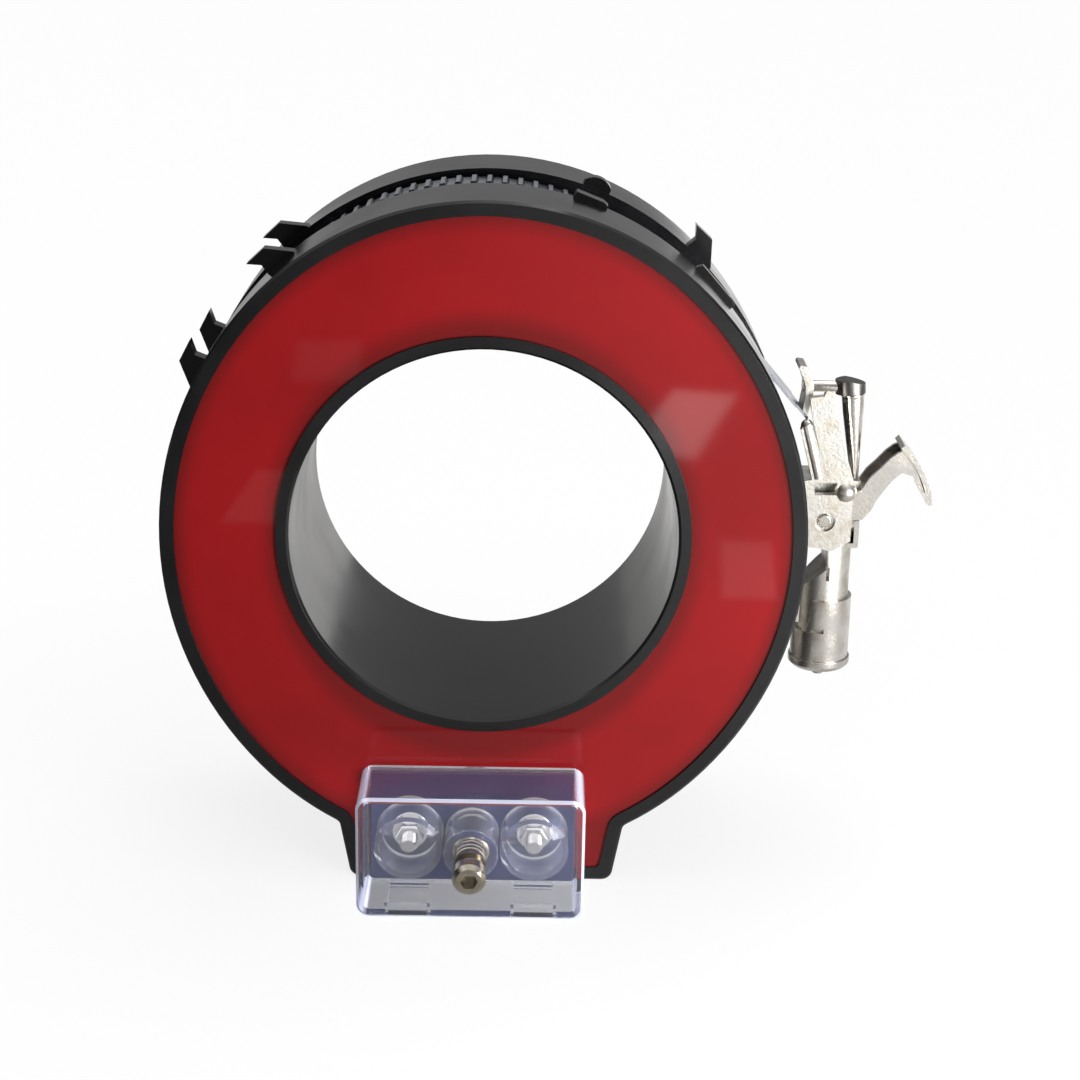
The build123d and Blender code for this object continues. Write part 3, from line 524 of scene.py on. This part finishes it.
@dataclass
class Piece:
    """A piece that stands for one node of the frame, dressed and eased the same way as the rest.

    Args:
        node: Name of the node that the piece stands for.
        finish: Finish of the whole piece.
        slot: Material slot of the record; not used.
        edge: Width of the eased edges, in millimetres.
        sharp: Angle past which an edge is eased, in degrees.
        steps: Segments across an eased edge.
        body: Body that it rides on.
    """

    node: str
    finish: Finish
    slot: str
    edge: float = 0.3
    sharp: float = 32.0
    steps: int = 2
    body: Body = Body.TRANSFORMER

    def form(self, shape: bmesh.types.BMesh) -> None:
        """Fill the mesh with the node's own form, its loose triangles joined.

        Args:
            shape: The empty mesh.
        """
        shape.from_mesh(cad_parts[self.node].data)
        bmesh.ops.remove_doubles(shape, verts=shape.verts, dist=MERGE_DISTANCE)
        bmesh.ops.dissolve_limit(
            shape,
            angle_limit=FLAT_ANGLE,
            verts=shape.verts,
            edges=shape.edges,
            use_dissolve_boundaries=False,
        )

    def build(self) -> bpy.types.Object:
        """Build the piece.

        Returns:
            The finished object.
        """
        shape = bmesh.new()
        self.form(shape)
        mesh = bpy.data.meshes.new(self.node + "_visual")
        shape.to_mesh(mesh)
        shape.free()
        piece = bpy.data.objects.new(self.node + "_visual", mesh)
        bpy.context.scene.collection.objects.link(piece)
        mesh.shade_smooth()
        if self.edge > 0:
            ease = piece.modifiers.new("eased_edges", "BEVEL")
            ease.limit_method = "ANGLE"
            ease.angle_limit = math.radians(self.sharp)
            ease.width = self.edge * MM
            ease.segments = self.steps
            ease.use_clamp_overlap = True
            even = piece.modifiers.new("even_normals", "WEIGHTED_NORMAL")
            even.mode = "FACE_AREA"
            even.weight = 100
        else:
            mesh.set_sharp_from_angle(angle=math.radians(self.sharp))
        mesh.materials.append(self.finish.material())
        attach(piece, self.body.value)
        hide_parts(self.node)
        LOG.info("%s: %d faces", piece.name, len(mesh.polygons))
        return piece


@dataclass
class Turning(Piece):
    """A turned piece, spun from one or more half profiles about axes that run towards the front.

    Args:
        profiles: For each spin, the axis's place across and up and its outline of radius and
            depth, in millimetres; an outline that ends away from its axis is closed.
        around: Segments round a spin.
    """

    profiles: list[tuple[float, float, list[tuple[float, float]]]] = field(default_factory=list)
    around: int = 96

    def form(self, shape: bmesh.types.BMesh) -> None:
        """Spin every profile.

        Args:
            shape: The empty mesh.
        """
        for across, up, outline in self.profiles:
            points = [shape.verts.new(Vector((across + radius, depth, up)) * MM) for radius, depth in outline]
            pairs = list(zip(points, points[1:]))
            if outline[0][0] > 0 and outline[-1][0] > 0:
                pairs.append((points[-1], points[0]))
            rims = [shape.edges.new(pair) for pair in pairs]
            bmesh.ops.spin(
                shape,
                geom=points + rims,
                cent=Vector((across, 0.0, up)) * MM,
                axis=(0.0, 1.0, 0.0),
                dvec=(0.0, 0.0, 0.0),
                angle=math.tau,
                steps=self.around,
                use_merge=True,
                use_duplicate=False,
            )
        bmesh.ops.remove_doubles(shape, verts=shape.verts, dist=SPIN_MERGE_DISTANCE)
        bmesh.ops.recalc_face_normals(shape, faces=shape.faces)


@dataclass
class PouredResin(Piece):
    """Poured resin, whose wide faces are shaded flat.

    Args:
        wide: Smallest area of such a face, in square metres.
    """

    wide: float = 1e-4

    def build(self) -> bpy.types.Object:
        """Build the piece and part its wide faces from the shading of its edges.

        Returns:
            The finished object.
        """
        piece = super().build()
        mesh = piece.data
        flat = {key for face in mesh.polygons if face.area > self.wide for key in face.edge_keys}
        for edge in mesh.edges:
            edge.use_edge_sharp = edge.use_edge_sharp or edge.key in flat
        return piece


@dataclass(frozen=True)
class Pool:
    """A pool of light on the floor that shows only in a gloss.

    Args:
        across: Place along X, in metres.
        depth: Place along Y.
        half_width: Half its size across.
        half_depth: Half its size in depth.
        turn: Turn about Z, in degrees.
        bright: Brightness that it adds.
    """

    across: float
    depth: float
    half_width: float
    half_depth: float
    turn: float
    bright: float


@dataclass(frozen=True)
class SoftBox:
    """A square area lamp.

    Args:
        name: Name of the lamp.
        place: Its place, in metres.
        aim: Place that it points at.
        size: Length of its side.
        watts: Its power.
    """

    name: str
    place: tuple[float, float, float]
    aim: tuple[float, float, float]
    size: float
    watts: float

    def build(self) -> None:
        """Hang the lamp."""
        lamp = bpy.data.lights.new(self.name, "AREA")
        lamp.size = self.size
        lamp.energy = self.watts
        box = bpy.data.objects.new(self.name, lamp)
        box.location = self.place
        box.rotation_euler = (Vector(self.aim) - Vector(self.place)).to_track_quat("-Z", "Y").to_euler()
        bpy.context.scene.collection.objects.link(box)


@dataclass(frozen=True)
class Studio:
    """Pale floor, soft light and the camera.

    Args:
        floor_z: Height of the floor, in millimetres.
        floor_size: Half the side of the floor, in metres.
        floor_tone: Grey of the floor.
        shadow_reach: Distances from the middle, in metres, between which the floor turns white.
        whiteness: How white the floor is to the eye at each of them.
        gloss_across: Places along X, in metres, between which the floor brightens in a gloss.
        gloss_tones: Its brightness in a gloss at each of them.
        gloss_behind: Places along Y, in metres, between which it brightens once more.
        gloss_rise: Brightness that it gains there.
        room_tone: Brightness of the whole room.
        eye: Camera's place, in millimetres.
        ahead: Direction that the camera looks in.
        right: Direction to the right of its picture.
        up: Direction to the top of its picture.
        lens: Focal length on a 36 mm sensor.
        pools: Pools of light on the floor in front.
        lamps: A near lamp low at the right, a far one at the left and one on top.
    """

    floor_z: float = -116.0
    floor_size: float = 6.0
    floor_tone: float = 0.86
    shadow_reach: tuple[float, float] = (0.1, 0.34)
    whiteness: tuple[float, float] = (0.82, 0.97)
    gloss_across: tuple[float, float] = (-0.16, 0.2)
    gloss_tones: tuple[float, float] = (0.12, 0.7)
    gloss_behind: tuple[float, float] = (0.05, 0.3)
    gloss_rise: float = 0.35
    room_tone: float = 0.05
    eye: tuple[float, float, float] = (14.67, -667.07, 214.74)
    ahead: tuple[float, float, float] = (0.0040, 0.9457, -0.3251)
    right: tuple[float, float, float] = (0.9999, 0.0015, 0.0168)
    up: tuple[float, float, float] = (-0.0164, 0.3251, 0.9455)
    lens: float = 71.57
    pools: tuple[Pool, ...] = (
        Pool(0.100, -0.590, 0.022, 0.080, 14.0, 3.4),
        Pool(0.114, -0.345, 0.014, 0.045, 4.0, 1.0),
        Pool(-0.118, -0.442, 0.016, 0.050, 4.0, 0.45),
        Pool(-0.114, -0.720, 0.024, 0.060, -4.0, 0.35),
    )
    lamps: tuple[SoftBox, ...] = (
        SoftBox("right_box", (0.46, -0.46, -0.02), (0.03, -0.04, -0.03), 0.34, 8.2),
        SoftBox("left_box", (-0.75, -0.85, 0.75), (0.0, 0.0, 0.0), 0.7, 0.8),
        SoftBox("top_box", (0.1, 0.25, 1.2), (0.0, 0.0, 0.0), 0.9, 7.0),
    )

    def build(self) -> None:
        """Build the whole studio."""
        self._floor()
        self._world()
        for lamp in self.lamps:
            lamp.build()
        self._camera()
        bpy.context.scene.view_settings.view_transform = "Standard"

    def _seen_directly(self, wiring: Wiring) -> bpy.types.NodeSocket:
        """Tell what the camera or a clear wall sees directly from the rest.

        Args:
            wiring: Node tree of the floor or world.

        Returns:
            1 for what is seen directly and 0 for the rest.
        """
        path = wiring.add("ShaderNodeLightPath")
        return wiring.join("MAXIMUM", path.outputs["Is Camera Ray"], path.outputs["Is Transmission Ray"])

    def _floor(self) -> None:
        """Lay a wide floor that shows white, keeps the object's soft shadow and is dim in a gloss."""
        shape = bmesh.new()
        bmesh.ops.create_grid(shape, x_segments=1, y_segments=1, size=self.floor_size)
        mesh = bpy.data.meshes.new("floor")
        shape.to_mesh(mesh)
        shape.free()
        mesh.transform(Matrix.Translation((0.0, 0.0, self.floor_z * MM)))
        floor = bpy.data.objects.new("floor", mesh)
        bpy.context.scene.collection.objects.link(floor)
        mesh.materials.append(self._floor_material())

    def _floor_material(self) -> bpy.types.Material:
        """Build the floor's material.

        Returns:
            The material.
        """
        tint = bpy.data.materials.new("floor_white")
        tint.use_nodes = True
        wiring = Wiring(tint.node_tree)
        shader = tint.node_tree.nodes["Principled BSDF"]
        shader.inputs["Base Color"].default_value = (self.floor_tone, self.floor_tone, self.floor_tone, 1.0)
        shader.inputs["Roughness"].default_value = 0.9
        shader.inputs["Specular IOR Level"].default_value = 0.1
        glow = wiring.add("ShaderNodeEmission")
        glow.inputs["Color"].default_value = (1.0, 1.0, 1.0, 1.0)
        both = wiring.add("ShaderNodeMixShader")
        share = wiring.join("MULTIPLY", self._seen_directly(wiring), self._whiteness(wiring))
        wiring.link(share, both.inputs["Fac"])
        wiring.link(shader.outputs["BSDF"], both.inputs[1])
        wiring.link(glow.outputs["Emission"], both.inputs[2])
        gloss = wiring.add("ShaderNodeEmission")
        gloss.inputs["Color"].default_value = (1.0, 0.99, 0.97, 1.0)
        wiring.link(self._floor_in_gloss(wiring), gloss.inputs["Strength"])
        mirrored = wiring.add("ShaderNodeMixShader")
        wiring.link(wiring.add("ShaderNodeLightPath").outputs["Is Glossy Ray"], mirrored.inputs["Fac"])
        wiring.link(both.outputs["Shader"], mirrored.inputs[1])
        wiring.link(gloss.outputs["Emission"], mirrored.inputs[2])
        wiring.link(mirrored.outputs["Shader"], tint.node_tree.nodes["Material Output"].inputs["Surface"])
        return tint

    def _whiteness(self, wiring: Wiring) -> bpy.types.NodeSocket:
        """Return how far the floor is white to the eye: less near the object, to keep its shadow.

        Args:
            wiring: Node tree of the floor.

        Returns:
            Share of plain white.
        """
        flat = wiring.add("ShaderNodeMapping")
        flat.inputs["Scale"].default_value = (1.0, 1.0, 0.0)
        wiring.link(wiring.place(), flat.inputs["Vector"])
        return wiring.ramp(wiring.length(flat.outputs["Vector"]), self.shadow_reach, self.whiteness)

    def _floor_in_gloss(self, wiring: Wiring) -> bpy.types.NodeSocket:
        """Return the floor's brightness in a gloss: dim at the left, bright behind, with pools in front.

        Args:
            wiring: Node tree of the floor.

        Returns:
            The brightness.
        """
        place = wiring.place()
        sides = wiring.split(place)
        total = wiring.join(
            "ADD",
            wiring.ramp(sides.outputs["X"], self.gloss_across, self.gloss_tones),
            wiring.ramp(sides.outputs["Y"], self.gloss_behind, (0.0, self.gloss_rise)),
        )
        for pool in self.pools:
            spot = wiring.add("ShaderNodeMapping", vector_type="TEXTURE")
            spot.inputs["Location"].default_value = (pool.across, pool.depth, self.floor_z * MM)
            spot.inputs["Rotation"].default_value = (0.0, 0.0, math.radians(pool.turn))
            spot.inputs["Scale"].default_value = (pool.half_width, pool.half_depth, 1.0)
            wiring.link(place, spot.inputs["Vector"])
            away = wiring.longest_side(spot.outputs["Vector"])
            total = wiring.join("ADD", total, wiring.ramp(away, (1.0, 0.72), (0.0, pool.bright)))
        return total

    def _world(self) -> None:
        """Light the scene from above and behind, and leave the camera's side of the room dark."""
        world = bpy.data.worlds.new("studio")
        bpy.context.scene.world = world
        world.use_nodes = True
        wiring = Wiring(world.node_tree)
        back = world.node_tree.nodes["Background"]
        sides = wiring.split(wiring.add("ShaderNodeTexCoord").outputs["Generated"])
        above = wiring.ramp(sides.outputs["Z"], (0.3, 0.95), (0.0, 0.85))
        behind = wiring.ramp(sides.outputs["Y"], (-0.25, 0.75), (0.0, 0.26))
        room = wiring.join("ADD", wiring.join("MAXIMUM", above, behind), self.room_tone)
        seen = wiring.add("ShaderNodeMix", data_type="FLOAT")
        seen.inputs[3].default_value = 1.0
        wiring.link(self._seen_directly(wiring), seen.inputs["Factor"])
        wiring.link(room, seen.inputs[2])
        wiring.link(seen.outputs[0], back.inputs["Strength"])
        back.inputs["Color"].default_value = (0.985, 0.985, 1.0, 1.0)

    def _camera(self) -> None:
        """Stand the camera where the photograph was taken from."""
        optics = bpy.data.cameras.new("camera")
        optics.lens = self.lens
        optics.sensor_width = 36.0
        optics.clip_start = 0.01
        camera = bpy.data.objects.new("camera", optics)
        columns = (Vector(self.right), Vector(self.up), -Vector(self.ahead))
        turn = Matrix(columns).transposed().to_4x4()
        camera.matrix_world = Matrix.Translation(Vector(self.eye) * MM) @ turn
        bpy.context.scene.collection.objects.link(camera)
        bpy.context.scene.camera = camera


@dataclass
class RingCase:
    """The moulded case with its resin, wound core and leads.

    Args:
        rim_ease: Width of the case's eased edges, in millimetres.
        core_ease: Width of those of the core and its wraps.
    """

    rim_ease: float = 0.35
    core_ease: float = 0.3

    def pieces(self) -> list[Piece]:
        """List the pieces.

        Returns:
            The pieces in building order.
        """
        return [
            Piece("case", CASE_PLASTIC, "case", self.rim_ease, 38, 3),
            PouredResin("resin_fill", RED_RESIN, "resin", 0.0, 50),
            Piece("core", CORE_STEEL, "core", self.core_ease),
            Piece("core_tape", WINDING_TAPE, "tape", self.core_ease),
            Piece("secondary_winding", COPPER_WIRE, "copper", self.core_ease),
            Piece("winding_lead_left", COPPER_WIRE, "copper", 0.0, 60),
            Piece("winding_lead_right", COPPER_WIRE, "copper", 0.0, 60),
        ]


@dataclass
class Terminals:
    """Block, studs, nuts, shroud, clear cover and sealing screw.

    Args:
        middle: Place of the sealing screw across the object, in millimetres.
        pitch: Distance between the studs.
        height: Height of the studs, screw and domes.
        block_y: Depth of the block's front face.
        stud_radius: Radius of a stud over its thread.
        stud_reach: Length of a stud in front of the block.
        stud_end_y: Depth of its rear end.
        thread_pitch: Pitch of the thread.
        thread_depth: Depth of the thread.
        stud_steps: Segments round a stud.
        dome_radius: Outer radius of a dome.
        dome_wall: Wall of a dome.
        dome_length: Length of a dome's straight side.
        dome_rise: Height of its crown.
        crown_steps: Steps from its middle to its side.
        guard_radii: Inner and outer radius of the ring round the bush.
        guard_length: Length of that ring.
        guard_rim: Chamfer on its end.
        bush_radii: Bore, nose and body radius of the bush.
        bush_y: Depth of the step on the bush.
        bush_front_y: Depth of its front end.
        groove_depth: Depth of the fine grooves round its nose, and of the chamfer on its end.
        groove_places: Places of the grooves, as shares of the nose's length.
    """

    middle: float = -2.7
    pitch: float = 39.6
    height: float = -96.7
    block_y: float = -48.15
    stud_radius: float = 2.48
    stud_reach: float = 10.0
    stud_end_y: float = -29.75
    thread_pitch: float = 0.8
    thread_depth: float = 0.42
    stud_steps: int = 48
    dome_radius: float = 10.8
    dome_wall: float = 2.2
    dome_length: float = 12.0
    dome_rise: float = 3.2
    crown_steps: int = 9
    guard_radii: tuple[float, float] = (6.3, 8.6)
    guard_length: float = 16.0
    guard_rim: float = 0.4
    bush_radii: tuple[float, float, float] = (3.1, 5.0, 5.7)
    bush_y: float = -61.85
    bush_front_y: float = -68.75
    groove_depth: float = 0.3
    groove_places: tuple[float, float] = (0.32, 0.68)

    def stud_outline(self) -> list[tuple[float, float]]:
        """Outline of a stud: a thread in front of the block and a plain shank in the resin.

        Returns:
            Radius and depth of each corner.
        """
        root = self.stud_radius - self.thread_depth
        tip = self.block_y - self.stud_reach
        outline = [(0.0, tip), (root - 0.25, tip)]
        for turn in range(int(self.stud_reach / self.thread_pitch)):
            start = tip + 0.3 + turn * self.thread_pitch
            outline += [(root, start), (self.stud_radius, start + 0.4 * self.thread_pitch)]
            outline += [(self.stud_radius, start + 0.55 * self.thread_pitch)]
        return outline + [(self.stud_radius, self.stud_end_y), (0.0, self.stud_end_y)]

    def dome_outline(self) -> list[tuple[float, float]]:
        """Outline of a hollow dome, from its inner crown round its foot to its outer crown.

        Returns:
            Radius and depth of each corner.
        """
        crown = (self.dome_radius**2 + self.dome_rise**2) / (2 * self.dome_rise)
        centre = self.block_y - self.dome_length - self.dome_rise + crown
        inner = self._crown_arc(self.dome_radius - self.dome_wall, crown - self.dome_wall, centre)
        outer = self._crown_arc(self.dome_radius, crown, centre)
        feet = [(self.dome_radius - self.dome_wall, self.block_y), (self.dome_radius, self.block_y)]
        return inner + feet + outer[::-1]

    def _crown_arc(self, radius: float, reach: float, centre: float) -> list[tuple[float, float]]:
        """Arc of a crown, from the dome's axis to its side.

        Args:
            radius: Radius of the dome at the arc's end.
            reach: Radius of the arc.
            centre: Depth of the arc's centre.

        Returns:
            Radius and depth of each corner.
        """
        radii = [radius * step / self.crown_steps for step in range(self.crown_steps + 1)]
        return [(away, centre - math.sqrt(reach**2 - away**2)) for away in radii]

    def bush_outline(self) -> list[tuple[float, float]]:
        """Outline of the bush, with two fine grooves round its nose.

        Returns:
            Radius and depth of each corner.
        """
        bore, nose, body = self.bush_radii
        outline = [(bore, self.block_y), (body, self.block_y), (body, self.bush_y + 0.4), (nose, self.bush_y)]
        floor = nose - self.groove_depth
        for back in self.groove_places:
            groove = self.bush_y + back * (self.bush_front_y - self.bush_y)
            outline += [(nose, groove + 0.35), (floor, groove), (floor, groove - 0.2), (nose, groove - 0.5)]
        tip = self.bush_front_y
        return outline + [(nose, tip + self.groove_depth), (floor, tip), (bore, tip)]

    def guard_outline(self) -> list[tuple[float, float]]:
        """Outline of the clear ring round the bush.

        Returns:
            Radius and depth of each corner.
        """
        inner, outer = self.guard_radii
        tip = self.block_y - self.guard_length
        chamfer = [(outer, tip + self.guard_rim), (outer - self.guard_rim, tip)]
        return [(inner, self.block_y), (outer, self.block_y), *chamfer, (inner, tip)]

    def pieces(self) -> list[Piece]:
        """List the pieces.

        Returns:
            The pieces in building order.
        """
        places = {"left": self.middle - self.pitch / 2, "right": self.middle + self.pitch / 2}
        made: list[Piece] = [Piece("terminal_block", BLOCK_PLASTIC, "block", 0.15)]
        for side, across in places.items():
            stud = [(across, self.height, self.stud_outline())]
            name = "terminal_stud_" + side
            made += [
                Turning(name, BRIGHT_NICKEL, "nickel", 0.0, 30, profiles=stud, around=self.stud_steps),
                Piece("terminal_washer_" + side, BRIGHT_NICKEL, "nickel", 0.12),
                Piece("terminal_nut_" + side, BRIGHT_NICKEL, "nickel", 0.25, 25, 3),
            ]
        clear = [(across, self.height, self.dome_outline()) for across in places.values()]
        clear.append((self.middle, self.height, self.guard_outline()))
        bush = [(self.middle, self.height, self.bush_outline())]
        return made + [
            Piece("screw_insert", NICKEL, "nickel", 0.1),
            Turning("spacer_bush", NICKEL, "nickel", 0.0, 30, profiles=bush),
            Piece("sealing_screw", NICKEL, "nickel", 0.25, 25, 3),
            Turning("terminal_shroud", CLEAR_SHROUD, "clear_shroud", 0.0, 30, profiles=clear),
            Piece("terminal_cover", CLEAR_COVER, "clear_cover", 0.3, 25, 3),
        ]


@dataclass
class TensionStrap:
    """The ridged strap in the groove and the plate and bar at its hooked end.

    Args:
        ridge_ease: Width of the strap's eased edges, in millimetres.
    """

    ridge_ease: float = 0.45

    def pieces(self) -> list[Piece]:
        """List the pieces.

        Returns:
            The pieces in building order.
        """
        return [
            Piece("strap", STAINLESS, "stainless", self.ridge_ease, 30, 3),
            Piece("hook_plate", CAST_NICKEL, "cast_nickel", 0.5, 30, 3),
            Piece("crossbar", ROLLED_NICKEL, "cast_nickel", 0.3),
        ]


@dataclass
class StrapLock:
    """The quick-release lock: castings, screw housing, lever and tension sleeve.

    Args:
        cast_ease: Width of the eased edges of the cast body, in millimetres.
        rolled_ease: Width of those of the rolled pieces.
    """

    cast_ease: float = 0.7
    rolled_ease: float = 0.35

    def pieces(self) -> list[Piece]:
        """List the pieces.

        Returns:
            The pieces in building order.
        """
        rolled, cast = self.rolled_ease, self.cast_ease
        return [
            Piece("lock_body", CAST_NICKEL, "cast_nickel", cast, 32, 4),
            Piece("pivot_pin", ROLLED_NICKEL, "cast_nickel", 0.3, 32, 3),
            Piece("screw_housing", CAST_NICKEL, "cast_nickel", 0.4, 32, 3),
            Piece("drum_cup", ROLLED_NICKEL, "cast_nickel", rolled, 32, 3),
            Piece("end_cap", ROLLED_NICKEL, "cast_nickel", rolled, 30, 3),
            Piece("keeper_bracket", ROLLED_NICKEL, "cast_nickel", rolled, 32, 3),
            Piece("release_lever", ROLLED_NICKEL, "cast_nickel", 0.45, 32, 3, Body.LEVER),
            Piece("lever_spring", SPRING_STEEL, "spring_steel", 0.0, 75),
            Piece("tension_sleeve", ROLLED_NICKEL, "cast_nickel", 0.2, 25, 3, Body.SLEEVE),
            Piece("spindle", SPRING_STEEL, "spring_steel", 0.1),
            Piece("draw_rod", SPRING_STEEL, "spring_steel", 0.2),
            Piece("draw_spring", SPRING_STEEL, "spring_steel", 0.0, 75),
            Piece("trunnion_cap", GUNMETAL, "gunmetal", 0.7, 30, 4),
        ]


def main() -> None:
    """Build the object and its studio."""
    logging.basicConfig(level=logging.INFO, format="%(name)s %(message)s")
    for assembly in (RingCase(), Terminals(), TensionStrap(), StrapLock()):
        for piece in assembly.pieces():
            piece.build()
    Studio().build()


if __name__ == "__main__":
    main()
